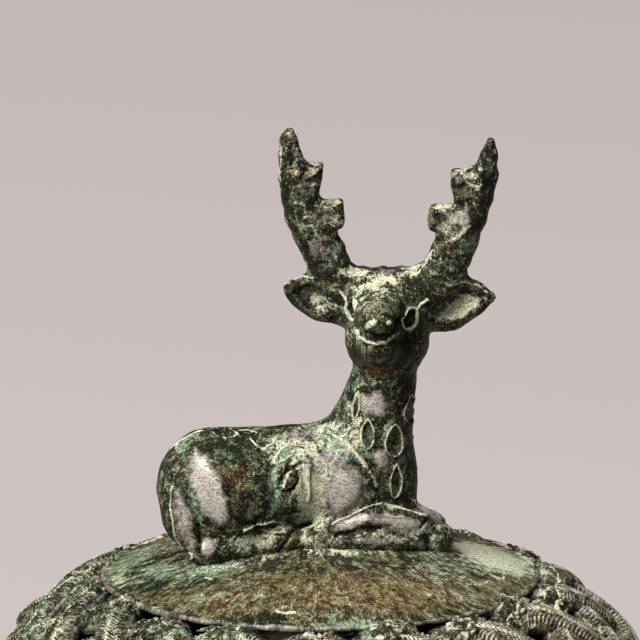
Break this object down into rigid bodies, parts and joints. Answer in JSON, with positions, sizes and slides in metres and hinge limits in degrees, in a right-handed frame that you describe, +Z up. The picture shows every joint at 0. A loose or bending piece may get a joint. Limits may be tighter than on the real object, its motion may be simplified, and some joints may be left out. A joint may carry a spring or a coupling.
{
  "type": "tripod censer",
  "caption": "Lidded bronze tripod censer: round bowl, domed lid of pierced interlaced dragons with a lying deer as its grip, and loose ring handles on beast masks, for burning incense.",
  "frame": {"origin": "on the floor under the middle of the bowl, level with the soles of the feet", "axes": "+Z up along the bowl's axis; the deer lies towards +X and looks towards -Y, where the front leg stands; the ring handles are at -X and +X"},
  "size_m": [0.2026, 0.172, 0.2768],
  "materials": {
    "bronze": "aged cast bronze, dark green-brown patina with pale green crust in the hollows",
    "dark_bronze": "dull dark hammered bronze",
    "liner_copper": "dull brown sheet, sooted"
  },
  "bodies": {
    "bowl": {"bowl": "bronze", "leg_front": "bronze", "leg_back_right": "bronze", "leg_back_left": "bronze", "leg_rivet_front": "dark_bronze", "leg_rivet_back_right": "dark_bronze", "leg_rivet_back_left": "dark_bronze", "mask_right": "bronze", "mask_left": "bronze", "mask_rivet_right_a": "dark_bronze", "mask_rivet_right_b": "dark_bronze", "mask_rivet_left_a": "dark_bronze", "mask_rivet_left_b": "dark_bronze"},
    "lid": {"lid": "bronze", "lid_collar": "bronze", "deer": "bronze", "antler_left": "bronze", "antler_right": "bronze", "finial_rivet_rear": "dark_bronze", "finial_rivet_front": "dark_bronze", "finial_washer_rear": "dark_bronze", "finial_washer_front": "dark_bronze"},
    "liner": {"ash_liner": "liner_copper"},
    "right_ring": {"ring_right": "bronze"},
    "left_ring": {"ring_left": "bronze"}
  },
  "joints": [
    {"name": "lid_lift", "type": "slide", "parent": "bowl", "child": "lid", "axis": [0, 0, 1], "range_m": [0, 0.12]},
    {"name": "liner_lift", "type": "slide", "parent": "bowl", "child": "liner", "axis": [0, 0, 1], "range_m": [0, 0.04]},
    {"name": "ring_right_swing", "type": "hinge", "parent": "bowl", "child": "right_ring", "pos_m": [0.09408, 0, 0.0838], "axis": [0, -1, 0], "range_deg": [-20, 160]},
    {"name": "ring_left_swing", "type": "hinge", "parent": "bowl", "child": "left_ring", "pos_m": [-0.09408, 0, 0.0838], "axis": [0, 1, 0], "range_deg": [-20, 160]}
  ]
}
